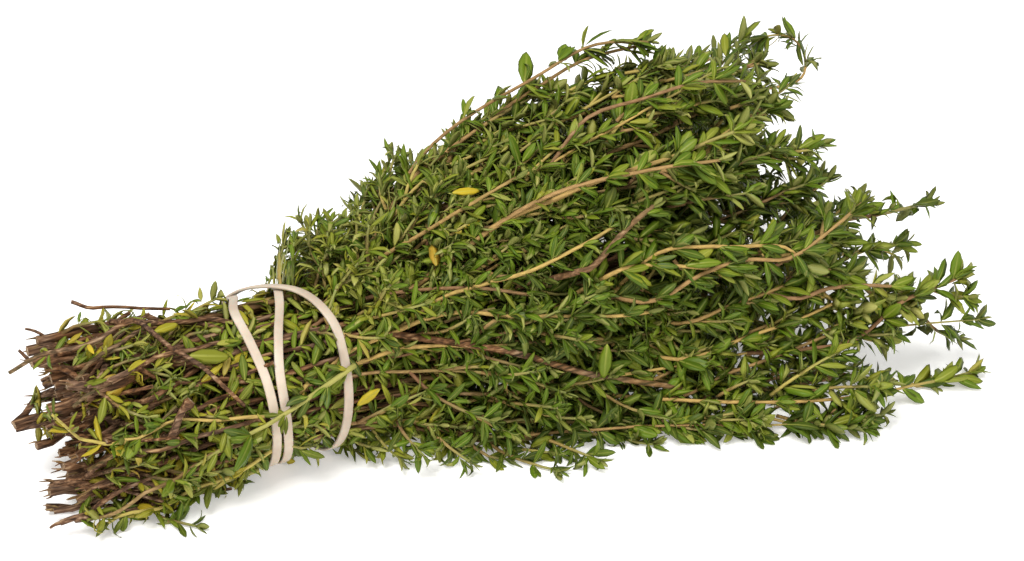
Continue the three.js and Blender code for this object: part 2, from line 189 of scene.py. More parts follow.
THINNER = 0.78  # the stems seen are slimmer than the solids that stand for them with their leaves
NODE_SPACING = 10.5 * MM  # between the pairs of leaves on a main stem
SHOOT_SPACING = 7 * MM  # and on a side shoot
LEAF_LENGTH = 8.8 * MM
SHOOT_ANGLE = math.radians(42)
SHOOT_LENGTH = (12 * MM, 30 * MM)
STUB_LENGTH = (7 * MM, 21 * MM)
LEAF_LIFT = 0.6 * MM  # least height of a leaf's tip above the table
MIDDLE_DEPTH = 2.2 * MM  # leaves this deep in the bunch get fewer faces
PLAIN_DEPTH = 6 * MM  # these fewer still
DEEP_DEPTH = 9.5 * MM  # and these the fewest
BURIED_DEPTH = 16 * MM  # and those this deep are left out
BURIED_SHARE = 0.15  # but for this share
LOOSE_SHARE = 0.4  # how deep leaves count as lying towards the tips, where the bunch is loose
SLICE = 9 * MM
SECTOR = math.radians(18)
CROOKED_BUTT = 7  # how much more crooked the stems get towards their cut ends
PINCH_SLOPE = 3.4  # how fast the growth swells out again beside a strand
FAN_FROM = 60 * MM  # from here on the bunch is a fan
HELD_FROM = 2 * MM  # growth that stands further out of the fan than this is drawn in
HELD_SHARE = 0.3  # to this share of the rest
WIDEST = 64 * MM  # nor do the shoots reach further sideways than this
TOP_SHARE = 0.89  # on top of the fan it keeps to this share of the height
TIP_TOP_SHARE = 0.78  # and to this share towards the tips
NEAR_SHARE = 0.87  # and on the near side of the fan it keeps to this share of the half width
NEAR_HOLLOW = 0.12  # less this, half way along the fan
SECOND_SPREAD = (0.16, 0.19)  # how far a second stem runs from the main one, as a share of the bunch
LOWEST_STEM = 1.2 * MM  # least height of a shoot's middle line above the table
LOWEST_POINT = 0.15 * MM  # and of any leaf
CROWN = ((0.85, 0.85), (0.55, 0.72), (0.25, 0.5))  # lean and size of the pairs at a shoot's end
YELLOW_CHANCE = 0.012  # the share of the leaves that is yellow anywhere
ALMOST_YELLOW = 0.95  # their age
OLDEST = 1.1  # the most that the leaves at the cut ends are aged
OWN_TINT = 0.6  # how far each stem's tint departs from its sprig's
LEAF_SCATTER = 0.14  # how much the leaves' directions stray
FACE_SCATTER = 0.25
LEAF_TINT = (0.28, 0.66)  # of the darkest and the lightest sprig
TINT_SCATTER = 0.22
AGE_SCATTER = 0.1
PAIR_SIZE = (0.85, 1.1)
PAIR_LEAN = (0.7, 1.15)
TUFT_SIZE = ((0.58, 0.7), (0.95, 1.05))  # the smallest and the largest, in a wild and in a neat tuft
TUFT_LEAN = (1.05, 0.75)  # the most that its leaves lean out, in a wild and in a neat one
WAVES = (13 * MM, 5.5 * MM)  # the lengths of a stem's bends
SHOOT_STEPS = 5
SHOOT_RADIUS = (0.55, 0.35)  # from foot to end, in millimetres, as are the next three
STUB_RADIUS = (0.62, 0.4)
FIBRE_RADIUS = (0.32, 0.26, 0.1)
FIBRE_LENGTH = (2, 4.8)  # the shortest and the longest
STUBS_WITHIN = 11  # this many points of the stem's route from its cut end
# How many small leaves fill the axils of a node, by what kind of stem it is on.
TUFTS = {"main": 6.0, "second": 5.4, "branch": 7, "shoot": 3.4, "butt": 2.5, "loose": 4, "curl": 2.0}

# Where along the bunch, from its cut ends towards its tips, the growth changes.
YELLOW_SPAN = (-45 * MM, 65 * MM)  # the leaves get greener
FULL_SPAN = (-60 * MM, 40 * MM)  # larger and denser
DARK_SPAN = (20 * MM, 90 * MM)  # darker
PLUMP_SPAN = (50 * MM, 105 * MM)  # broader
NEAT_SPAN = (60 * MM, 110 * MM)  # better ordered in their tufts
LARGE_SPAN = (70 * MM, 120 * MM)  # larger again
LOOSE_SPAN = (90 * MM, 130 * MM)  # fewer
BURY_SPAN = (95 * MM, 125 * MM)  # less hidden by each other
PALE_SPAN = (105 * MM, 155 * MM)  # and paler
LOW_TOP_SPAN = (110 * MM, 160 * MM)  # and the fan gets lower
TIP_SHOOTS_FROM = 105 * MM
SIDE_ROOM = 0.6  # a sprig further out than this share of the bunch shows on its outside

# Shoots grow from one place along the bunch to another, and are between two lengths.
BUTT_SHOOTS = ((-56 * MM, -8 * MM), (8 * MM, 19 * MM))
SHOULDER_SHOOTS = ((12 * MM, 36 * MM), (15 * MM, 25 * MM))
LOW_SHOOTS = ((16 * MM, 46 * MM), (12 * MM, 18 * MM))
TOP_SHOOT_LENGTH = (10 * MM, 24 * MM)
LAST_SHOOT_LENGTH = (8 * MM, 21 * MM)
TIP_SHOOT_LENGTH = (9 * MM, 18 * MM)
BRANCH_SHOOT_LENGTH = (8 * MM, 15 * MM)

# Small helpers ---------------------------------------------------------


def mix(low, high, share):
    return low + (high - low) * share


def clamp(value):
    return min(1.0, max(0.0, value))


def smoothstep(value, low, high):
    share = clamp((value - low) / (high - low))
    return share * share * (3 - 2 * share)


def cross(a, b):
    return np.array((a[1] * b[2] - a[2] * b[1], a[2] * b[0] - a[0] * b[2], a[0] * b[1] - a[1] * b[0]))


def unit(vector):
    return vector / math.sqrt(vector @ vector)


def vary(index, purpose):
    """A number from 0 to 1 that is always the same for one sprig and one purpose."""
    wave = math.sin(index * 12.9898 + purpose * 78.233) * 43758.5453
    return wave - math.floor(wave)


def smooth_route(points, per_span):
    """Points along a smooth curve through the given ones."""
    points = np.asarray(points, float)
    ends = np.vstack([2 * points[0] - points[1], points, 2 * points[-1] - points[-2]])
    route = []
    for span in range(len(points) - 1):
        a, b, c, d = ends[span:span + 4]
        for t in np.arange(per_span) / per_span:
            route.append(0.5 * (2 * b + (c - a) * t + (2 * a - 5 * b + 4 * c - d) * t ** 2
                                + (3 * b - a - 3 * c + d) * t ** 3))
    return np.array(route + [points[-1]])


def directions(route):
    ahead = np.gradient(route, axis=0)
    return ahead / np.linalg.norm(ahead, axis=1, keepdims=True)


def run_along(route):
    return np.concatenate([[0], np.cumsum(np.linalg.norm(np.diff(route, axis=0), axis=1))])


def between(first, second, angle):
    """The first direction, turned by an angle towards the second."""
    return math.cos(angle) * first + math.sin(angle) * second


def around(forward, turn):
    """A direction square to a stem, at an angle round it: a quarter turn points up."""
    side = unit(cross(forward, (0.0, 0.0, 1.0)))
    return between(side, cross(side, forward), turn)


def select(*things):
    """Selects only these, with the first one active."""
    bpy.ops.object.select_all(action="DESELECT")
    for thing in things:
        thing.select_set(True)
    bpy.context.view_layer.objects.active = things[0]


def face_outward(thing, doubles=None):
    """Merges points closer than doubles, if given, and turns every face outwards."""
    select(thing)
    bpy.ops.object.mode_set(mode="EDIT")
    bpy.ops.mesh.select_all(action="SELECT")
    if doubles:
        bpy.ops.mesh.remove_doubles(threshold=doubles)
    bpy.ops.mesh.normals_make_consistent(inside=False)
    bpy.ops.object.mode_set(mode="OBJECT")


def set_inputs(node, values):
    for name, value in values.items():
        node.inputs[name].default_value = value


def set_values(mesh, key, parts):
    numbers = np.concatenate(parts).astype(np.float32)
    mesh.attributes.new(key, "FLOAT", "POINT").data.foreach_set("value", numbers)


# The bunch's shape -----------------------------------------------------


def standing(across, up):
    """A place in the round bunch, from shares of its radius."""
    column = math.sqrt(max(1e-6, 1 - across * across))
    rise = clamp((up / column + 1) / 2)
    return across, rise, column


def sprig_spot(index):
    radius = math.sqrt((index + 0.5) / SPRIGS)
    turn = index * GOLDEN_ANGLE
    return radius * math.cos(turn), radius * math.sin(turn), radius


def place(stand, x):
    """The middle of a stem that stands there, at distance x along the bunch."""
    across, rise, column = stand
    side = "near" if across < 0 else "far"
    round_y = WAIST_RADIUS * across
    round_z = (WAIST_CENTRE + WAIST_RADIUS * column * (2 * rise - 1)) * FLATTENING
    past = max(0.0, x - WAIST_TO)
    before = max(0.0, WAIST_FROM - x)
    spread = (past / FAN["length"]) ** FAN_OPENING
    if before > 0:
        half_width, height, blend = BUTT[side], BUTT["top"], smoothstep(before, 0, BUTT_BLEND)
    else:
        half_width = WAIST_RADIUS + spread * FAN[side]
        height = WAIST_TOP + spread * FAN["top"]
        blend = smoothstep(past, 0, FAN_BLEND)
    top = max(GROUND_GAP, height * column ** SHOULDER)
    y = mix(round_y, half_width * across, blend)
    z = mix(round_z, mix(GROUND_GAP, top, rise), blend)
    return np.array((x, y, z))


def outside(x, degrees, lift):
    """A point on the outside of the bunch, in millimetres and degrees round it from its underside."""
    angle = math.radians(degrees)
    across = -math.sin(angle) * RIM
    rim = place(standing(across, -math.cos(angle) * RIM), x * MM)
    return rim + unit(np.array((0, across, -math.cos(angle)))) * lift * MM


def stem_route(index):
    across, up, rim = sprig_spot(index)
    stand = standing(across, up)
    notable = NOTABLE.get(index, {})
    butt_end = mix(*BUTT_REACH, vary(index, 1)) - BUTT_SLANT * across
    if "butt" in notable:
        butt_end = notable["butt"] * MM
    roundness = math.sqrt(1 - FAN_ROUNDING * (across ** 2 + stand[1] ** 2))
    short = SHORT_SPRIG if rim > OUTSIDE_FROM and index % 2 else 1
    reach = FAN_REACH * roundness * short * mix(FAN_RAGGED, 1, vary(index, 2))
    stray = np.array((0, mix(*STRAY_ASIDE, vary(index, 3)), mix(*STRAY_UP, vary(index, 4)))) * MM
    tip = place(stand, reach)
    if "tip" in notable:
        tip = np.array(notable["tip"]) * MM
        stray = tip - place(stand, tip[0])
    phase = vary(index, 5) * math.pi * 2
    route = []
    for step in range(STEM_STEPS + 1):
        point = place(stand, mix(-butt_end, tip[0], step / STEM_STEPS))
        out = max(0.0, (point[0] - WAIST_TO) / (tip[0] - WAIST_TO))
        sway = min(1.0, max(WAIST_FROM - point[0], point[0] - WAIST_TO, 0) / SWAY_FULL)
        point = point + stray * out ** 2
        late = clamp((out - BOW_FROM) / (1 - BOW_FROM))
        point[1] += notable.get("bow", 0) * MM * math.sin(math.pi * late)
        point[1] += SWAY * sway * math.sin(phase + point[0] / SWAY_WAVES[0])
        point[2] += SWAY * sway * math.sin(phase * 2 + point[0] / SWAY_WAVES[1])
        point[2] = max(point[2], GROUND_GAP)
        route.append(point)
    return route + [np.array(point) * MM for point in notable.get("curl", ())]


def band_course(steps):
    """Along the band: the angle round the bunch, the place along it and the lift, for each step."""
    whole = 360 * BAND_TURNS
    route = np.array(BAND_ROUTE + ((whole,) + BAND_ROUTE[0][1:],), float)
    degrees = (np.arange(steps) + 0.5) / steps * whole
    wide = np.vstack([route[-3:-1] - (whole, 0, 0), route, route[1:3] + (whole, 0, 0)])
    fine = smooth_route(wide, 12)
    along = np.interp(degrees, fine[:, 0], fine[:, 1]) * MM
    lift = np.interp(degrees, fine[:, 0], fine[:, 2]) * MM
    return np.radians(degrees), along, lift


def band_point(angle, along, height):
    outward = BAND_RADIUS + height
    return np.stack([along, -outward * np.sin(angle),
                     (WAIST_CENTRE - outward * np.cos(angle)) * FLATTENING], axis=-1)


# The part's solids were moved to put their origin in the middle of the footprint. The band tells by
# how much.
band_angle, band_along, band_lift = band_course(BAND_TURNS * BAND_FACETS)
own_band = np.vstack([band_point(band_angle, band_along + side, band_lift + BAND_THICKNESS)
                      for side in (-BAND_WIDTH / 2, BAND_WIDTH / 2)])
SHIFT = np.array(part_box("rubber_band")[0]) - own_band.min(axis=0)


def pinched(points):
    """Presses what grows at the waist in under the band's strands."""
    up = WAIST_CENTRE - points[:, 2] / FLATTENING
    angle = np.arctan2(-points[:, 1], up) % (2 * math.pi)
    radius = np.hypot(points[:, 1], up)
    beside = np.full(len(points), 1.0)
    for turn in range(BAND_TURNS):
        strand = np.interp(angle + turn * 2 * math.pi, band_angle, band_along)
        beside = np.minimum(beside, np.abs(points[:, 0] - strand))
    room = BAND_RADIUS - 0.3 * MM + np.maximum(0, beside - BAND_WIDTH / 2) * PINCH_SLOPE
    shrink = np.minimum(1, room / np.maximum(radius, 1e-6))
    return np.stack([points[:, 0], points[:, 1] * shrink,
                     (WAIST_CENTRE - up * shrink) * FLATTENING], axis=1)


def held(points):
    """Draws in what grows far out of the fan, so that the shoots hug it as they do in a tied bunch."""
    drawn = points.copy()
    for row, (x, y, z) in enumerate(points):
        side = place(standing(math.copysign(1, y), 0), x)
        hollow = NEAR_HOLLOW * (1 - smoothstep(abs(x - 90 * MM), 8 * MM, 28 * MM))
        reach = min(abs(side[1]) * (NEAR_SHARE - hollow if y < 0 and x > FAN_FROM else 1), WIDEST)
        top = place(standing(0, 1), x)[2]
        if x > FAN_FROM:
            top *= mix(TOP_SHARE, TIP_TOP_SHARE, smoothstep(x, *LOW_TOP_SPAN))
        rise = max(z, 0) / top
        share = min(1.2, abs(y) / reach)
        fill = math.sqrt(share ** 2 + rise ** (2 / SHOULDER))
        if fill > 1:
            low, high = 0.3, 1.0
            for _ in range(16):
                middle = (low + high) / 2
                if (share * middle) ** 2 + (rise * middle) ** (2 / SHOULDER) > 1:
                    high = middle
                else:
                    low = middle
            past = (1 - low) * math.hypot(y, z)
            keep = min(past, HELD_FROM) + max(0, past - HELD_FROM) * HELD_SHARE
            drawn[row, 1:] *= low + keep / math.hypot(y, z)
    return drawn


# Camera, table and light -----------------------------------------------

VIEW_TURN = math.radians(-28)
VIEW_RISE = math.radians(30)
VIEW_DISTANCE = 0.9
VIEW_LENS = 112.0
VIEW_TARGET = np.array((80, 0, 33)) * MM


def add_camera():
    back = Vector((math.sin(VIEW_TURN) * math.cos(VIEW_RISE),
                   -math.cos(VIEW_TURN) * math.cos(VIEW_RISE), math.sin(VIEW_RISE)))
    target = Vector(VIEW_TARGET + SHIFT)
    bpy.ops.object.camera_add(location=target + back * VIEW_DISTANCE,
                              rotation=back.to_track_quat("Z", "Y").to_euler())
    camera = bpy.context.object
    camera.data.lens = VIEW_LENS
    camera.data.sensor_width = 36
    bpy.context.scene.camera = camera


def add_softbox(name, size, power, place_at):
    bpy.ops.object.light_add(type="AREA", location=place_at,
                             rotation=Vector(place_at).to_track_quat("Z", "Y").to_euler())
    lamp = bpy.context.object
    lamp.name = name
    lamp.data.shape = "DISK"
    lamp.data.size = size
    lamp.data.energy = power


def add_table():
    bpy.ops.mesh.primitive_plane_add(size=6)
    table = bpy.context.object
    table.name = "table"
    material = bpy.data.materials.new("pale_table")
    material.use_nodes = True
    set_inputs(material.node_tree.nodes["Principled BSDF"], {
        "Base Color": (0.95, 0.94, 0.925, 1), "Roughness": 0.7,
        "Emission Color": (1.0, 0.99, 0.975, 1), "Emission Strength": 0.3})
    table.data.materials.append(material)


def add_studio():
    world = bpy.data.worlds.new("studio")
    world.use_nodes = True
    set_inputs(world.node_tree.nodes["Background"], {"Color": (1, 1, 1, 1), "Strength": 0.56})
    bpy.context.scene.world = world
    add_softbox("key", 0.6, 13.5, (-0.5, -0.3, 1.05))
    add_softbox("fill", 1.2, 7, (0.45, -1.1, 0.75))
    bpy.context.scene.view_settings.view_transform = "Standard"


# Materials -------------------------------------------------------------


def make_grain():
    """Noise on the object, stretched so that it can run along the stems. Every material uses it."""
    grain = bpy.data.node_groups.new("grain", "ShaderNodeTree")
    for name, kind in (("Stretch", "Vector"), ("Scale", "Float"), ("Detail", "Float")):
        grain.interface.new_socket(name, in_out="INPUT", socket_type="NodeSocket" + kind)
    grain.interface.new_socket("Grain", in_out="OUTPUT", socket_type="NodeSocketFloat")
    given, result, spot, mapping, noise = [grain.nodes.new(kind) for kind in (
        "NodeGroupInput", "NodeGroupOutput", "ShaderNodeTexCoord", "ShaderNodeMapping",
        "ShaderNodeTexNoise")]
    for source, output, target, socket in (
            (spot, "Object", mapping, "Vector"), (given, "Stretch", mapping, "Scale"),
            (mapping, "Vector", noise, "Vector"), (given, "Scale", noise, "Scale"),
            (given, "Detail", noise, "Detail"), (noise, "Fac", result, "Grain")):
        grain.links.new(source.outputs[output], target.inputs[socket])
    return grain


GRAIN = make_grain()
MIX_FACTOR, MIX_A, MIX_B, MIX_RESULT = 0, 6, 7, 2  # the colour sockets of a Mix node


class Shader:
    """A material, with short calls that add the nodes it needs."""

    def __init__(self, name, roughness, gloss):
        self.material = bpy.data.materials.new(name)
        self.material.use_nodes = True
        self.nodes = self.material.node_tree.nodes
        self.links = self.material.node_tree.links
        self.surface = self.nodes["Principled BSDF"]
        set_inputs(self.surface, {"Roughness": roughness, "Specular IOR Level": gloss})

    def add(self, kind, output, inputs, **settings):
        """A node with its inputs linked or set to plain values. A colour is given as three numbers."""
        node = self.nodes.new("ShaderNode" + kind)
        for name, value in settings.items():
            setattr(node, name, value)
        for name, value in inputs.items():
            self.give(node.inputs[name], value)
        return node.outputs[output]

    def give(self, socket, value):
        if isinstance(value, bpy.types.NodeSocket):
            self.links.new(value, socket)
        elif value is not None:
            socket.default_value = (*value, 1) if socket.type == "RGBA" else value

    def paint(self, colour):
        self.give(self.surface.inputs["Base Color"], colour)

    def attribute(self, name):
        return self.add("Attribute", "Fac", {}, attribute_name=name)

    def grain(self, scale, detail=4.0, stretch=(1, 1, 1)):
        return self.add("Group", "Grain", {"Stretch": stretch, "Scale": scale, "Detail": detail},
                        node_tree=GRAIN)

    def math(self, operation, first, second=None, limited=False):
        return self.add("Math", "Value", {0: first, 1: second}, operation=operation, use_clamp=limited)

    def ramp(self, factor, *stops):
        """A colour ramp; each stop is a place from 0 to 1 and a linear colour."""
        colour = self.add("ValToRGB", "Color", {"Fac": factor})
        elements = colour.node.color_ramp.elements
        while len(elements) < len(stops):
            elements.new(0.5)
        for element, (position, shade) in zip(elements, stops):
            element.position = position
            element.color = (*shade, 1)
        return colour

    def blend(self, factor, first, second):
        return self.add("Mix", MIX_RESULT, {MIX_FACTOR: factor, MIX_A: first, MIX_B: second},
                        data_type="RGBA")

    def bump(self, height, strength, distance):
        normal = self.add("Bump", "Normal",
                          {"Strength": strength, "Distance": distance, "Height": height})
        self.give(self.surface.inputs["Normal"], normal)


def leaf_material():
    """Fresh green above and grey-green below, with a pale midrib, painted shade on the rolled edges,
    and older leaves that turn yellow.
    """
    leaf = Shader("thyme_leaf", 0.42, 0.17)
    tint, age = leaf.attribute("tint"), leaf.attribute("age")
    across = leaf.math("ABSOLUTE", leaf.attribute("across"))
    along = leaf.attribute("along")
    fresh = leaf.ramp(tint, (0, (0.024, 0.043, 0.007)), (0.25, (0.04, 0.081, 0.005)),
                      (0.5, (0.082, 0.148, 0.005)), (0.75, (0.178, 0.2, 0.016)),
                      (1, (0.32, 0.33, 0.08)))
    old = leaf.ramp(tint, (0, (0.11, 0.115, 0.012)), (0.45, (0.2, 0.19, 0.015)),
                    (0.8, (0.55, 0.38, 0.02)), (1, (0.4, 0.2, 0.03)))
    top = leaf.blend(age, fresh, old)
    mottle = leaf.math("MULTIPLY", leaf.grain(480), 0.4)
    top = leaf.blend(mottle, top, (0.15, 0.2, 0.015))
    middle = leaf.math("SUBTRACT", 1, leaf.math("MULTIPLY", across, 5), limited=True)
    rib = leaf.math("MULTIPLY", middle, leaf.math("SUBTRACT", 1.15, along), limited=True)
    top = leaf.blend(leaf.math("MULTIPLY", rib, 0.6), top, (0.42, 0.42, 0.09))
    # Painted shade: the upper face darkens towards its edges, standing in for the shade where the
    # margins roll under.
    rim = leaf.math("MULTIPLY", leaf.math("POWER", across, 4.0), 0.35, limited=True)
    top = leaf.blend(rim, top, (0.05, 0.075, 0.01))
    pale = leaf.ramp(tint, (0, (0.122, 0.14, 0.026)), (1, (0.34, 0.34, 0.1)))
    under = leaf.blend(leaf.math("MULTIPLY", age, 0.7), pale, old)
    below = leaf.math("MULTIPLY", leaf.attribute("underside"), 2.5, limited=True)
    leaf.paint(leaf.blend(below, top, under))
    veins = leaf.math("MULTIPLY", leaf.grain(1500, 2.0), 0.4)
    leaf.bump(leaf.math("SUBTRACT", veins, rib), 0.5, 0.25 * MM)
    return leaf.material


def stem_material():
    """Fibrous grey-brown bark on old wood, which turns reddish, ochre and green towards the tips."""
    stem = Shader("thyme_stem", 0.72, 0.2)
    fibre = stem.grain(1300, 6.0, stretch=(0.1, 1, 1))
    patches = stem.grain(70, 3.0)
    tint = stem.attribute("tint")
    bark = stem.ramp(fibre, (0.32, (0.02, 0.008, 0.002)), (0.45, (0.08, 0.033, 0.011)),
                     (0.58, (0.2, 0.09, 0.036)), (0.72, (0.4, 0.25, 0.12)))
    grey = stem.ramp(fibre, (0.32, (0.03, 0.019, 0.013)), (0.5, (0.12, 0.08, 0.055)),
                     (0.7, (0.34, 0.27, 0.2)))
    bark = stem.blend(stem.ramp(patches, (0.42, (0, 0, 0)), (0.62, (0.45, 0.45, 0.45))), bark, grey)
    young = stem.ramp(tint, (0, (0.2, 0.085, 0.045)), (0.3, (0.32, 0.18, 0.08)),
                      (0.6, (0.5, 0.33, 0.1)), (1, (0.5, 0.42, 0.1)))
    streaks = stem.ramp(fibre, (0.35, (0.4, 0.4, 0.4)), (0.58, (0, 0, 0)))
    young = stem.blend(streaks, young, (0.1, 0.055, 0.02))
    colour = stem.blend(stem.attribute("wood"), young, bark)
    colour = stem.blend(stem.attribute("fresh"), colour, (0.23, 0.26, 0.07))
    stem.paint(colour)
    stem.bump(fibre, 0.8, 0.4 * MM)
    return stem.material


def cut_material():
    cut = Shader("cut_wood", 0.8, 0.2)
    grain = cut.grain(1800, stretch=(0.3, 1, 1))
    colour = cut.ramp(grain, (0.3, (0.09, 0.048, 0.025)), (0.5, (0.25, 0.16, 0.09)),
                      (0.7, (0.5, 0.38, 0.25)))
    cut.paint(colour)
    cut.bump(grain, 0.4, 0.2 * MM)
    return cut.material


def latex_material():
    latex = Shader("cream_latex", 0.5, 0.35)
    cloud, grain = latex.grain(90, 3.0), latex.grain(900, 3.0)
    colour = latex.ramp(cloud, (0.3, (0.42, 0.33, 0.25)), (0.55, (0.53, 0.435, 0.335)),
                        (0.75, (0.62, 0.53, 0.43)))
    latex.paint(colour)
    set_inputs(latex.surface, {"Subsurface Weight": 0.15, "Subsurface Scale": 0.5 * MM})
    latex.bump(grain, 0.2, 0.1 * MM)
    return latex.material


# Leaves ----------------------------------------------------------------

# Each kind of leaf: half its width as a share of its length, how far its tip bends back in degrees, and
# how far it swings sideways in degrees.
LEAF_KINDS = ((0.13, 20, 0), (0.2, 12, 4), (0.11, 48, -8), (0.14, 30, 16), (0.105, -12, -12),
              (0.115, 75, 6))
BROAD_KIND = 1

# How common each kind is and how its width varies: in most of the bunch, then towards the tips, where
# the leaves are plump and fresh.
KIND_SHARES = (0.26, 0.08, 0.2, 0.16, 0.15, 0.15)
TIP_SHARES = (0.4, 0.14, 0.12, 0.22, 0.07, 0.05)
LEAF_WIDTH = (0.78, 1.2)
TIP_WIDTH = (0.95, 1.35)

# A leaf's section, from the upper face round to the under face, and its rings: how far along it each is
# and its width there. Leaves deep in the bunch are plainer.
DIAMOND = ((0, 0.06), (-1, -0.12), (0, -0.34), (1, -0.12))
LEAF_DETAIL = (
    (((0, -0.2), (-0.52, 0.18), (-1, -0.16), (0, -0.45), (1, -0.16), (0.52, 0.18)),
     ((0.07, 0.32), (0.32, 0.92), (0.61, 0.98), (0.87, 0.5))),
    (((0, 0), (-1, -0.1), (0, -0.4), (1, -0.1)), ((0.12, 0.5), (0.4, 1.0), (0.78, 0.78))),
    (DIAMOND, ((0.25, 0.85), (0.72, 0.9))),
    (DIAMOND, ((0.45, 1.0),)),
)


def model_leaf(half_width, droop, swing, section, rings):
    """One leaf, a unit long from its foot at the origin to its tip in +Z, with its upper face to +Y."""
    bpy.ops.object.select_all(action="DESELECT")
    bpy.ops.mesh.primitive_circle_add(vertices=len(section), radius=1)
    leaf = bpy.context.object
    for vertex, (x, y) in zip(leaf.data.vertices, section):
        vertex.co = (x * half_width * rings[0][1], y * half_width * rings[0][1], rings[0][0])
    bpy.ops.object.mode_set(mode="EDIT")
    bpy.ops.mesh.select_all(action="SELECT")
    at, width = rings[0]
    for ring_at, ring_width in rings[1:] + ((1.0, 0.02),):
        bpy.ops.mesh.extrude_region_move(TRANSFORM_OT_translate={"value": (0, 0, ring_at - at)})
        wider = ring_width / width
        bpy.ops.transform.resize(value=(wider, wider, 1), center_override=(0, 0, ring_at))
        at, width = ring_at, ring_width
    bpy.ops.mesh.merge(type="CENTER")
    bpy.ops.object.mode_set(mode="OBJECT")
    for vertex in leaf.data.vertices:
        vertex.select = vertex.co.z < rings[0][0] + 0.01
    bpy.ops.object.mode_set(mode="EDIT")
    bpy.ops.mesh.select_mode(type="VERT")
    bpy.ops.mesh.extrude_region_move(TRANSFORM_OT_translate={"value": (0, 0, -rings[0][0])})
    bpy.ops.mesh.merge(type="CENTER")
    bpy.ops.mesh.select_all(action="SELECT")
    bpy.ops.mesh.normals_make_consistent(inside=False)
    bpy.ops.object.mode_set(mode="OBJECT")
    shape = read_leaf(leaf.data, half_width)
    bpy.data.objects.remove(leaf)
    curl_leaf(shape, math.radians(droop), math.radians(swing))
    return shape


def read_leaf(mesh, half_width):
    points = np.array([vertex.co[:] for vertex in mesh.vertices])
    under = np.array([vertex.normal.y < -0.8 for vertex in mesh.vertices])
    faces = [tuple(face.vertices) for face in mesh.polygons]
    below = [any(under[corner] for corner in face) for face in faces]
    return {"points": points, "faces": faces, "along": points[:, 2].copy(),
            "across": points[:, 0] / half_width, "underside": under.astype(float), "below": below}


def curl_leaf(shape, droop, swing):
    """Bends the leaf back and sideways, more and more towards its tip."""
    points, along = shape["points"], shape["along"]
    back, aside = droop * along ** 1.4, swing * along
    height, side = points[:, 1].copy(), points[:, 0].copy()
    points[:, 2] = along * np.cos(back) * np.cos(aside) - height * np.sin(back)
    points[:, 1] = height * np.cos(back) - along * np.sin(back) * 0.75
    points[:, 0] = side + along * np.sin(aside) * 0.6


def model_leaves():
    return [[model_leaf(*kind, *detail) for kind in LEAF_KINDS] for detail in LEAF_DETAIL]


# What one piece grows --------------------------------------------------


class Growth:
    """The stems and the leaves of one piece."""

    def __init__(self, seed, free=False):
        self.random = np.random.default_rng(seed)
        self.hue = self.random.random()
        self.stems = []
        self.leaves = []
        self.free = free

    def stem(self, route, radii, wood, fresh=None, tint=None):
        route = route if self.free else pinched(route)
        fresh = np.zeros(len(route)) if fresh is None else fresh
        if tint is None:
            tint = clamp(mix(self.hue, self.random.random(), OWN_TINT))
        self.stems.append({"route": route, "radii": radii, "wood": wood, "fresh": fresh, "tint": tint})
        return route

    def leaf(self, root, along, facing, size, age, broad=0.0):
        random = self.random
        along = unit(along + random.normal(0, LEAF_SCATTER, 3))
        if root[2] + size * along[2] < LEAF_LIFT:
            along[2] = (LEAF_LIFT - root[2]) / size
            along = unit(along)
        facing = facing + random.normal(0, FACE_SCATTER, 3)
        side = unit(cross(facing, along))
        plump = smoothstep(root[0], *PLUMP_SPAN)
        shares = KIND_SHARES if random.random() > plump else TIP_SHARES
        kind = int(np.searchsorted(np.cumsum(shares), random.random() * 0.999))
        if random.random() < broad:
            kind = BROAD_KIND
        paler = 0.06 - 0.16 * smoothstep(root[0], *DARK_SPAN)
        paler += 0.1 * smoothstep(root[0], *PALE_SPAN)
        tint = clamp(random.normal(mix(*LEAF_TINT, self.hue) + paler, TINT_SCATTER))
        age = clamp(age + random.normal(0, AGE_SCATTER))
        width = mix(random.uniform(*LEAF_WIDTH), random.uniform(*TIP_WIDTH), plump)
        self.leaves.append((kind, root, along, side * width, cross(along, side), size, tint, age))

    def pair(self, root, forward, turn, lean, size, age, upward):
        """Two opposite leaves at a node, whose upper faces turn towards the tip and the light."""
        for half in (0, math.pi):
            along = between(forward, around(forward, turn + half), lean)
            grown = size * self.random.uniform(*PAIR_SIZE)
            self.leaf(root, along, 0.5 * forward + upward, grown, age)

    def tuft(self, root, forward, turn, count, size, age, upward):
        """The small leaves that fill the two axils of a node."""
        neat = smoothstep(root[0], *NEAT_SPAN)
        smallest, largest = [mix(*sizes, neat) for sizes in TUFT_SIZE]
        for each in range(count):
            outward = around(forward, turn + math.pi * (each % 2) + self.random.normal(0, 0.5))
            along = between(forward, outward, self.random.uniform(0.3, mix(*TUFT_LEAN, neat)))
            foot = root + outward * 0.7 * MM + forward * self.random.uniform(0, 1.4) * MM
            grown = size * self.random.uniform(smallest, largest)
            self.leaf(foot, along, 0.5 * forward + upward, grown, age)

    def rosette(self, root, forward, size, age):
        """The closed leaves at the end of a shoot."""
        start = self.random.uniform(0, math.pi)
        for ring, (lean, share) in enumerate(CROWN):
            self.pair(root - forward * (2 - ring) * 0.9 * MM, forward, start + ring * math.pi / 2,
                      lean, size * share, age, np.zeros(3))

    def flat_leaves(self, root, forward, count, size, age):
        """Broad leaves pressed flat on the outside near the band, which point all ways."""
        out = away_from_middle(root)
        beside = cross(out, forward)
        for _ in range(count):
            along = forward * self.random.normal(0.6, 0.7) + beside * self.random.normal(0, 0.9)
            foot = root + out * self.random.uniform(0.8, 2.2) * MM
            grown = size * self.random.uniform(0.6, 1.0)
            self.leaf(foot, unit(along) + 0.15 * out, 3 * out, grown, age, broad=0.2)

    def middles(self):
        return np.array([root + along * size / 2 for _, root, along, _, _, size, _, _ in self.leaves])


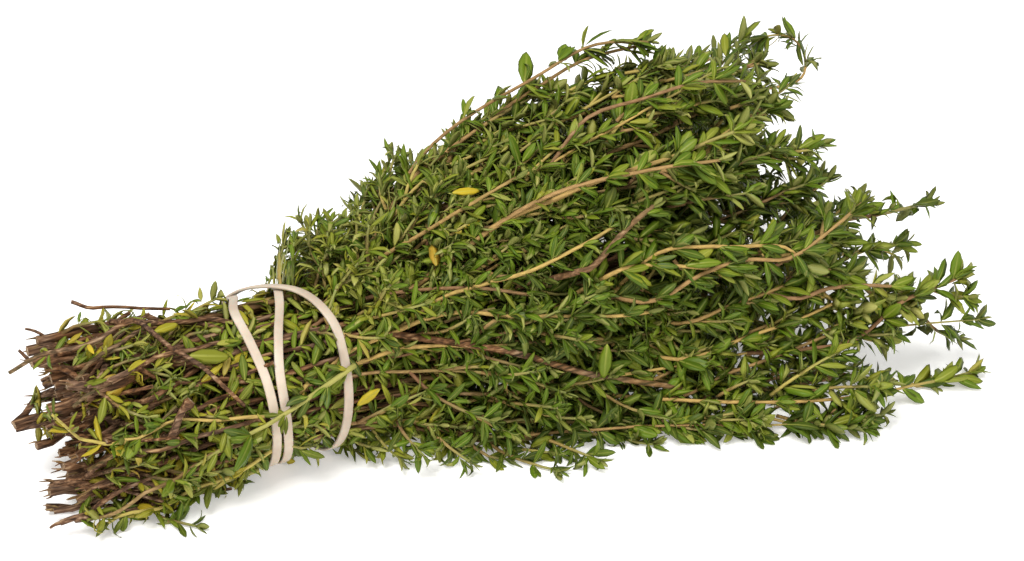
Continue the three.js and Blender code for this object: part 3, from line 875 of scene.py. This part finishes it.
def away_from_middle(point):
    """The way out of the bunch. Growth on its far side and low down in the fan turns up more."""
    x, y, z = point
    if y > 0:
        y = y * mix(0.9, 0.25, smoothstep(y, 25 * MM, 60 * MM))
    elif z < 16 * MM and x > FAN_FROM:
        y = y * 0.2
    out = np.array((0, y, z - min(WAIST_CENTRE, z)))
    return unit(out) if out @ out > 1e-10 else np.array((0, 0, 1.0))


def woodiness(x, bias):
    """From 1 at the cut ends to 0 near the tips."""
    return np.clip(1.0 - (x - 10 * MM) / (60 * MM) + bias, 0, 1)


def leaf_age(x, random):
    """Leaves near the cut ends turn yellow, and so do a few anywhere."""
    if random.random() < YELLOW_CHANCE:
        return ALMOST_YELLOW
    return OLDEST * (1 - smoothstep(x, *YELLOW_SPAN)) * random.random() ** 1.5


def wander(route, random, amount):
    """A stem is never quite straight: it zigzags at its nodes and bends between them."""
    run = run_along(route)
    ahead = directions(route)
    side = np.cross(ahead, unit(random.normal(0, 1, 3)))
    other = np.cross(ahead, side)
    zigzag = np.abs((run / NODE_SPACING + random.random()) % 2 - 1) - 0.5
    bend = np.sin(run / WAVES[0] + random.uniform(0, 6))
    bend = bend + 0.8 * np.sin(run / WAVES[1] + random.uniform(0, 6))
    crooked = 1 + CROOKED_BUTT * np.clip((-8 * MM - route[:, 0]) / (25 * MM), 0, 1)
    free = np.clip(run / (8 * MM), 0.3, 1) * crooked
    moved = route + ((zigzag * 1.2) * free * amount)[:, None] * side
    moved = moved + (bend * free * amount)[:, None] * other
    moved[:, 2] = np.maximum(moved[:, 2], 1.6 * MM)
    return moved


def beside_turn(root, forward):
    """The turn round a stem that points along the bunch's surface and not out of it."""
    out = away_from_middle(root)
    side = unit(cross(forward, (0.0, 0.0, 1.0)))
    return math.atan2(out @ cross(side, forward), out @ side) + math.pi / 2


def pressed_flat(root):
    """From 1 on the bunch's outside beside the band to 0 where leaves stand free."""
    off_band = abs(root[0] - 22 * MM)
    off_waist = math.hypot(root[1], WAIST_CENTRE - root[2] / FLATTENING) - WAIST_RADIUS
    return (1 - smoothstep(off_band, 18 * MM, 60 * MM)) * (1 - smoothstep(off_waist, 1 * MM, 6 * MM))


def clothe(growth, route, spacing, size, tuft, rim=0.0, bare=0.0):
    """Leaf pairs and tufts at the nodes of one stem, with a rosette at its end."""
    random = growth.random
    ahead = directions(route)
    run = run_along(route)
    turn = random.uniform(0, math.pi)
    at = spacing * random.uniform(0.3, 1.0)
    while at < run[-1] - 1.5 * MM:
        root, forward = [np.array([np.interp(at, run, rows[:, axis]) for axis in range(3)])
                         for rows in (route, ahead)]
        forward = unit(forward)
        left = run[-1] - at
        fullness = smoothstep(root[0], *FULL_SPAN)
        pressed = 0 if growth.free else pressed_flat(root)
        if rim > SIDE_ROOM and pressed > 0.3:
            growth.flat_leaves(root, forward, 2, size, leaf_age(root[0], random))
        if random.random() > max(bare, 0.35 * pressed):
            turn_here = turn
            if rim > SIDE_ROOM:
                flat_turn = beside_turn(root, forward) + random.normal(0, 0.5)
                turn_here = mix(turn, flat_turn, min(1, 2 * pressed))
            grown = size * random.uniform(0.8, 1.15) * mix(0.88, 1.0, min(1.0, left / (15 * MM)))
            grown *= mix(0.85, 1.0, fullness) * mix(1.0, 1.08, smoothstep(root[0], *LARGE_SPAN))
            age = leaf_age(root[0], random)
            upward = 0.7 * away_from_middle(root) + (0, 0, 0.6)
            growth.pair(root, forward, turn_here, random.uniform(*PAIR_LEAN), grown, age, upward)
            loose = mix(1.0, 0.85, smoothstep(root[0], *LOOSE_SPAN))
            count = int(round(tuft * mix(0.75, 1.0, fullness) * (1 - 0.4 * pressed) * loose
                              * random.uniform(0.5, 1.4)))
            growth.tuft(root, forward, turn_here, count, grown, age, upward)
        turn += math.pi / 2 + random.normal(0, 0.25)
        at += spacing * random.uniform(0.75, 1.25) * mix(0.55, 1.0, min(1.0, left / (35 * MM)))
    if bare < 0.5:
        growth.rosette(route[-1], ahead[-1], size, leaf_age(route[-1][0], random) * 0.5)


def side_shoot(root, forward, outward, length, random, steep=1.0):
    """A shoot that leaves its stem at an angle and bends to run with it."""
    point = root.copy()
    route = [point]
    bend = random.normal(0, 0.22, 3)
    angle = SHOOT_ANGLE * random.uniform(0.6, 1.3) * steep
    for step in range(SHOOT_STEPS):
        lean = angle * (1 - 0.6 * step / SHOOT_STEPS)
        heading = unit(between(forward, outward, lean) + bend * step / SHOOT_STEPS)
        point = point + heading * length / SHOOT_STEPS
        point[2] = max(point[2], LOWEST_STEM)
        route.append(point)
    return np.array(route)


def outward_from(route, at, ahead, swing):
    outward = away_from_middle(route[at])
    outward = unit(outward - (outward @ ahead[at]) * ahead[at])
    return between(outward, cross(ahead[at], outward), swing)


def add_shoots(growth, route, count, span, lengths, rim, bias, tuft=TUFTS["shoot"], steep=1.0):
    """Leafy side shoots on one stem, between two places along the bunch."""
    random = growth.random
    ahead = directions(route)
    for shoot in range(count):
        x = mix(*span, (shoot + random.uniform(0.1, 0.9)) / count)
        at = min(int(np.searchsorted(route[:, 0], x)), len(route) - 2)
        outward = outward_from(route, at, ahead, random.normal(0, mix(2.2, 0.95, rim)) / steep)
        length = mix(*lengths, random.random())
        path = side_shoot(route[at], ahead[at], outward, length, random, steep)
        if steep <= 1:
            path = held(path)
        path = growth.stem(path, np.linspace(*SHOOT_RADIUS, len(path)) * MM,
                           woodiness(path[:, 0] + 45 * MM, bias), np.linspace(0, 1, len(path)) ** 2)
        clothe(growth, path, SHOOT_SPACING, LEAF_LENGTH * 0.92, tuft, rim)


def add_stubs(growth, route, count):
    """Short dry twigs at the cut end, which break off where they left the stem."""
    random = growth.random
    ahead = directions(route)
    for _ in range(count):
        at = random.integers(0, STUBS_WITHIN)
        outward = outward_from(route, at, ahead, random.normal(0, 1.2))
        back = random.random() < 0.35
        length = mix(*STUB_LENGTH, random.random()) * (0.4 if back else 1)
        path = side_shoot(route[at], -ahead[at] if back else ahead[at], outward, length, random)
        growth.stem(path, np.linspace(*STUB_RADIUS, len(path)) * MM * random.uniform(0.8, 1.4),
                    np.ones(len(path)))


def add_fibres(growth, route, radius, count):
    """Torn fibres at a cut end."""
    random = growth.random
    back = unit(route[0] - route[1])
    for _ in range(count):
        outward = around(back, random.uniform(0, 2 * math.pi))
        start = route[0] + outward * radius * 0.6 - back * 1.5 * MM
        heading = unit(back + outward * random.uniform(0.05, 0.5))
        end = start + heading * random.uniform(*FIBRE_LENGTH) * MM
        middle = (start + end) / 2 + outward * 0.3 * MM
        growth.stem(np.array((start, middle, end)), np.array(FIBRE_RADIUS) * MM, np.full(3, 0.8))


def second_stem(index, which, main):
    """A branch that leaves the main stem low down and runs beside it, a little to one side."""
    across, up, _ = sprig_spot(index)
    start = int(vary(index, 50 + which) * 7)
    twist = vary(index, 60 + which) * math.pi * 2
    rate = mix(-1.5, 1.5, vary(index, 70 + which))
    reach = int(len(main) * (0.72 if index in NOTABLE else mix(0.8, 1.0, vary(index, 80 + which))))
    points = []
    for at in range(start, reach):
        out = smoothstep(at - start, 0, 6) * mix(*SECOND_SPREAD, smoothstep(at, 20, 45))
        turn = twist + rate * (at - start) / len(main) * math.pi
        moved = np.array((across + out * math.cos(turn), up + out * math.sin(turn)))
        size = math.sqrt(moved @ moved)
        if size > RIM:
            moved *= RIM / size
        beside = place(standing(*moved), main[at][0]) - place(standing(across, up), main[at][0])
        point = main[at] + beside
        point[2] = max(point[2], LOWEST_STEM)
        points.append(point)
    return held(np.array(points))


def add_second_stem(growth, index, which, main, rim, bias):
    random = growth.random
    route = wander(second_stem(index, which, main), random, 0.5 * MM)
    share = np.linspace(0, 1, len(route))
    radii = np.linspace(mix(0.75, 1.3, random.random()), 0.55, len(route)) * THINNER * MM
    route = growth.stem(route, radii, woodiness(route[:, 0], bias), share ** 6 * 0.8)
    spacing = NODE_SPACING * (1.5 if rim > SIDE_ROOM and which == 0 else 1)
    clothe(growth, route, spacing, LEAF_LENGTH * 0.95, TUFTS["second"], rim, bare=0.06)
    add_shoots(growth, route, 4 if rim > 0.55 else 3, (30 * MM, route[-1][0]), SHOOT_LENGTH, rim, bias)


def grow_sprig(index):
    growth = Growth(1000 + index)
    random = growth.random
    notable = NOTABLE.get(index, {})
    across, up, rim = sprig_spot(index)
    outer = rim > SIDE_ROOM
    above = outer and across + 1.2 * up > 0.5
    main = wander(smooth_route(stem_route(index), 5), random, 0.35 * MM)
    thick = mix(*STEM_SPREAD, vary(index, 6)) * THINNER
    share = np.linspace(0, 1, len(main))
    butt, waist, tip = STEM_RADIUS
    radii = np.where(share < WAIST_SHARE, mix(butt, waist, share / WAIST_SHARE),
                     mix(waist, tip, (share - WAIST_SHARE) / (1 - WAIST_SHARE))) * thick
    bias = random.normal(0, 0.25)
    freshness = np.clip((share - 0.85) / 0.15, 0, 1) * 0.8
    main = growth.stem(main, radii, woodiness(main[:, 0], bias), freshness)
    clothe(growth, main, NODE_SPACING, LEAF_LENGTH, TUFTS["main"], rim, bare=0.06)
    if "curl" in notable:
        clothe(growth, main[-14:], 5 * MM, LEAF_LENGTH * 0.8, TUFTS["curl"])
    if "butt" not in notable:
        add_fibres(growth, main, radii[0], int(random.integers(0, 5)))
    add_stubs(growth, main, 3 if outer else 1)
    for which in range(2):
        add_second_stem(growth, index, which, main, rim, bias)

    def shoots(count, span, lengths, **manner):
        add_shoots(growth, main, count, span, lengths, rim, bias, **manner)

    far_end = main[:, 0].max()
    shoots(7 if outer else 5, (45 * MM, min(far_end - 5 * MM, 150 * MM)),
           TOP_SHOOT_LENGTH if above else SHOOT_LENGTH)
    if "tip" in notable:
        shoots(notable.get("bushy", 4), (145 * MM, far_end - 8 * MM), LAST_SHOOT_LENGTH)
    elif far_end > 110 * MM:
        beyond = notable.get("beyond", 12) * MM
        shoots(4, (far_end - 20 * MM, far_end - 1 * MM), (0.7 * beyond, beyond), steep=0.6)
    if above:
        shoots(5, *SHOULDER_SHOOTS, steep=2.2)
    if rim > 0.75 and up < -0.25 and across < 0.3:
        shoots(5, *LOW_SHOOTS, steep=1.7)
    if outer:
        shoots(4, *BUTT_SHOOTS, tuft=TUFTS["butt"])
    if far_end > 130 * MM and not notable.get("open"):
        shoots(4, (TIP_SHOOTS_FROM, min(far_end - 12 * MM, 165 * MM)), TIP_SHOOT_LENGTH)
    add_long_branches(growth, index, main)
    add_lone_leaves(growth, index)
    return growth


def add_long_branches(growth, index, main):
    for sprig, radius, wood, tint, route in LONG_BRANCHES:
        if sprig != index:
            continue
        points = np.array([outside(*point) for point in route])
        start = points[0][0] + (-14 * MM if points[-1][0] > points[0][0] else 14 * MM)
        root = main[int(np.argmin(np.abs(main[:, 0] - start)))]
        path = wander(smooth_route(np.vstack([[root], points]), 4), growth.random, 0.25 * MM)
        count = len(path)
        path = growth.stem(path, np.linspace(radius, radius * 0.7, count) * MM, np.full(count, wood),
                           np.linspace(0, 0.5, count) ** 3, tint)
        clothe(growth, path, NODE_SPACING, LEAF_LENGTH * 0.95, TUFTS["branch"] * (1 - 0.8 * wood),
               bare=0.6 * wood)
        if points[-1][0] > 130 * MM:
            add_shoots(growth, path, 4, (points[0][0], points[-1][0]), BRANCH_SHOOT_LENGTH, 1.0, 0.0)


def add_lone_leaves(growth, index):
    for sprig, spot, length, tint, age in LONE_LEAVES:
        if sprig == index:
            root = outside(*spot)
            out = away_from_middle(root)
            along = unit(growth.random.normal(0, 1, 3) * (1, 0.6, 0.6))
            along = unit(along - (along @ out) * out)
            side = cross(out, along)
            growth.leaves.append((BROAD_KIND, root, along, side, cross(along, side), length * MM,
                                  tint, age))


def bury(growths):
    """Finds how deep each leaf lies: deep ones get fewer faces, and most of the buried ones go."""
    middles = np.vstack([growth.middles() for growth in growths])
    slices = np.floor(middles[:, 0] / SLICE).astype(int)
    depth = np.zeros(len(middles))
    for each in np.unique(slices):
        chosen = np.flatnonzero(slices == each)
        out = middles[chosen, 1:] - middles[chosen, 1:].mean(axis=0)
        radius = np.hypot(out[:, 0], out[:, 1])
        sector = np.floor(np.arctan2(out[:, 1], out[:, 0]) / SECTOR).astype(int)
        for part in np.unique(sector):
            inside = sector == part
            depth[chosen[inside]] = np.percentile(radius[inside], 92) - radius[inside]
    buried = depth * np.interp(middles[:, 0], BURY_SPAN, (1, LOOSE_SHARE))
    start = 0
    for growth in growths:
        own = depth[start:start + len(growth.leaves)]
        under = buried[start:start + len(growth.leaves)]
        start += len(own)
        chance = growth.random.random(len(own))
        growth.kept = [(leaf, sum(deep > limit for limit in (MIDDLE_DEPTH, PLAIN_DEPTH, DEEP_DEPTH)))
                       for leaf, deep, hidden, luck in zip(growth.leaves, own, under, chance)
                       if hidden < BURIED_DEPTH or luck < BURIED_SHARE]


# Meshes ----------------------------------------------------------------

# Each piece's surface is laid out flat in one square: the leaves' two sides in a grid, then a strip for
# each stem, then the stems' ends.
LEAVES_UP_TO = 0.78
STEMS_UP_TO = 0.97


def leaf_object(name, growth, shapes, material):
    points, faces, flat = [], [], []
    values = {key: [] for key in ("along", "across", "underside", "tint", "age")}
    start = 0
    columns = math.ceil(math.sqrt(len(growth.kept)))
    rows = math.ceil(len(growth.kept) / columns)
    for count, ((kind, root, along, side, facing, size, tint, age), level) in enumerate(growth.kept):
        shape = shapes[level][kind]
        local = shape["points"] * size
        placed = root + local[:, 2:] * along + local[:, :1] * side + local[:, 1:2] * facing
        low = placed[:, 2] < 0.6 * MM
        placed[low, 2] = 0.25 * MM + 0.12 * local[low, 1] + 0.3 * MM * (shape["underside"][low] == 0)
        points.append(placed)
        faces.extend(tuple(corner + start for corner in face) for face in shape["faces"])
        start += len(placed)
        column, row = count % columns, count // columns
        for face, below in zip(shape["faces"], shape["below"]):
            for corner in face:
                v = (0.73 if below else 0.27) + 0.21 * shape["across"][corner] * (-1 if below else 1)
                flat.append(((column + 0.04 + 0.92 * shape["along"][corner]) / columns,
                             (row + v) / rows * LEAVES_UP_TO))
        for key in ("along", "across", "underside"):
            values[key].append(shape[key])
        values["tint"].append(np.full(len(placed), tint))
        values["age"].append(np.full(len(placed), age))
    points = np.vstack(points)
    if not growth.free:
        points = pinched(points)
    points[:, 2] = np.maximum(points[:, 2], LOWEST_POINT)
    mesh = bpy.data.meshes.new(name)
    mesh.from_pydata((points + SHIFT).tolist(), [], faces)
    mesh.uv_layers.new(name="OFBake").data.foreach_set("uv", np.array(flat, np.float32).ravel())
    for key, parts in values.items():
        set_values(mesh, key, parts)
    mesh.shade_smooth()
    thing = bpy.data.objects.new(name, mesh)
    bpy.context.collection.objects.link(thing)
    mesh.materials.append(material)
    return thing


STEM_SIDES = 6


def stem_object(name, growth, bark, cut):
    """A bevelled curve through every stem, made a mesh, with pale wood on its cut ends."""
    curve = bpy.data.curves.new(name, "CURVE")
    curve.dimensions = "3D"
    curve.bevel_depth = 1.0
    curve.bevel_resolution = 1
    curve.use_fill_caps = True
    for stem in growth.stems:
        route = stem["route"] + SHIFT
        spline = curve.splines.new("POLY")
        spline.points.add(len(route) - 1)
        spline.points.foreach_set("co", np.hstack([route, np.ones((len(route), 1))]).ravel())
        spline.points.foreach_set("radius", stem["radii"])
        spline.use_smooth = True
    thing = bpy.data.objects.new(name, curve)
    bpy.context.collection.objects.link(thing)
    select(thing)
    bpy.ops.object.convert(target="MESH")
    thing = bpy.context.object
    thing.data.materials.append(bark)
    thing.data.materials.append(cut)
    dress_stems(thing.data, growth.stems)
    face_outward(thing, doubles=0.005 * MM)
    thing.data.shade_smooth()
    return thing


def dress_stems(mesh, stems):
    """The converted mesh has the ends first, from the last stem's, and then each stem ring by ring."""
    for key in ("wood", "fresh", "tint"):
        ends = [np.repeat((stem_values(stem, key)[-1], stem_values(stem, key)[0]), STEM_SIDES)
                for stem in reversed(stems)]
        tubes = [np.repeat(stem_values(stem, key), STEM_SIDES) for stem in stems]
        set_values(mesh, key, ends + tubes)
    end_faces = (STEM_SIDES - 2) * 2 * len(stems)
    kinds = np.zeros(len(mesh.polygons), np.int32)
    kinds[:end_faces] = 1
    mesh.polygons.foreach_set("material_index", kinds)
    flat = np.empty(len(mesh.loops) * 2, np.float32)
    layer = mesh.uv_layers[0]
    layer.data.foreach_get("uv", flat)
    flat = flat.reshape(-1, 2)
    end_corners = end_faces * 3
    turn = flat[:end_corners, 0] * 2 * math.pi * (1 - 1 / STEM_SIDES)
    cell = np.arange(end_corners) // ((STEM_SIDES - 2) * 3)
    flat[:end_corners, 0] = (cell + 0.5 + 0.42 * np.cos(turn)) / (2 * len(stems))
    flat[:end_corners, 1] = mix(STEMS_UP_TO, 1, 0.5 + 0.42 * np.sin(turn))
    corners = [(len(stem["route"]) - 1) * STEM_SIDES * 4 for stem in stems]
    row = np.repeat(np.arange(len(stems)), corners)
    flat[end_corners:, 1] = mix(LEAVES_UP_TO, STEMS_UP_TO,
                                (row + 0.08 + 0.84 * flat[end_corners:, 1]) / len(stems))
    layer.data.foreach_set("uv", flat.ravel())
    layer.name = "OFBake"


def stem_values(stem, key):
    return np.full(len(stem["route"]), stem["tint"]) if key == "tint" else stem[key]


def make_piece(node, growth, shapes, finishes):
    """One object for what grew as one, in place of the part's own solid."""
    piece = stems = stem_object(f"{node}_stems", growth, finishes["stem"], finishes["cut"])
    if growth.leaves:
        piece = leaf_object(f"{node}_leaves", growth, shapes, finishes["leaf"])
        select(piece, stems)
        bpy.ops.object.join()
    piece.name = f"grown_{node}"
    piece.data.name = piece.name
    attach(piece, "root")
    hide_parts(node)


# Twigs and loose shoots ------------------------------------------------


def grow_twig(number, radius, route):
    growth = Growth(3000 + number, free=True)
    points = wander(smooth_route([outside(*point) for point in route], 5), growth.random, 0.25 * MM)
    radii = np.linspace(radius, radius * 0.75, len(points)) * THINNER * MM
    if radius > 1.2:
        radii[-3:] *= (1.3, 1.9, 1.5)
    growth.stem(points, radii, np.ones(len(points)))
    return growth


def grow_loose_shoot(number, radius, route):
    growth = Growth(2000 + number, free=True)
    growth.hue = 0.1
    points = smooth_route([outside(*point) for point in route], 5)
    growth.stem(points, np.linspace(radius, radius * 0.5, len(points)) * MM, np.zeros(len(points)),
                np.full(len(points), 0.6), 0.9)
    clothe(growth, points, 7.5 * MM, LEAF_LENGTH * 0.8, TUFTS["loose"])
    whorl = int(0.66 * len(points))
    forward = directions(points)[whorl]
    out = away_from_middle(points[whorl])
    for turn, share in ((0.2, 1.5), (1.8, 1.35), (0.9, 1.1), (2.6, 1.2)):
        growth.pair(points[whorl] + out * MM, forward, turn, 0.95, LEAF_LENGTH * share, 0.0, 3 * out)
    return growth


# The band --------------------------------------------------------------

BAND_STEPS = 288
BAND_SIDES = 12
BAND_STRETCHED = 2.7 * MM  # its width where it is pulled tight


def make_band(material):
    """The band, shaped from a ring: a flat section with rounded edges, wound round the bunch."""
    bpy.ops.object.select_all(action="DESELECT")
    bpy.ops.mesh.primitive_torus_add(major_segments=BAND_STEPS, minor_segments=BAND_SIDES)
    band = bpy.context.object
    angle, along, lift = band_course(BAND_STEPS)
    turn = np.arange(BAND_SIDES) / BAND_SIDES * 2 * math.pi
    across = np.sign(np.cos(turn)) * np.abs(np.cos(turn)) ** 0.5 * BAND_STRETCHED / 2
    height = (np.sign(np.sin(turn)) * np.abs(np.sin(turn)) ** 0.4 * 0.5 + 0.5) * BAND_THICKNESS
    rows = [band_point(angle, along + across[side], lift + height[side]) for side in range(BAND_SIDES)]
    points = np.stack(rows, axis=1).reshape(-1, 3) + SHIFT
    points[:, 2] = np.maximum(points[:, 2], 0)
    band.data.vertices.foreach_set("co", points.ravel())
    band.data.update()
    face_outward(band)
    band.data.shade_smooth()
    band.name = "wound_band"
    band.data.materials.append(material)
    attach(band, "root")
    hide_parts("rubber_band")


# Assembly --------------------------------------------------------------

add_camera()
add_table()
add_studio()

leaf_shapes = model_leaves()
materials = {"leaf": leaf_material(), "stem": stem_material(), "cut": cut_material()}
make_band(latex_material())

sprigs = [grow_sprig(index) for index in range(SPRIGS)]
shoots = [grow_loose_shoot(count, *shoot) for count, shoot in enumerate(LOOSE_SHOOTS)]
bury(sprigs + shoots)
for count, growth in enumerate(sprigs, start=1):
    make_piece(f"sprig_{count:02d}", growth, leaf_shapes, materials)
for count, growth in enumerate(shoots, start=1):
    make_piece(f"loose_shoot_{count}", growth, leaf_shapes, materials)
for count, twig in enumerate(CROSSED_TWIGS, start=1):
    make_piece(f"crossed_twig_{count}", grow_twig(count, *twig), leaf_shapes, materials)
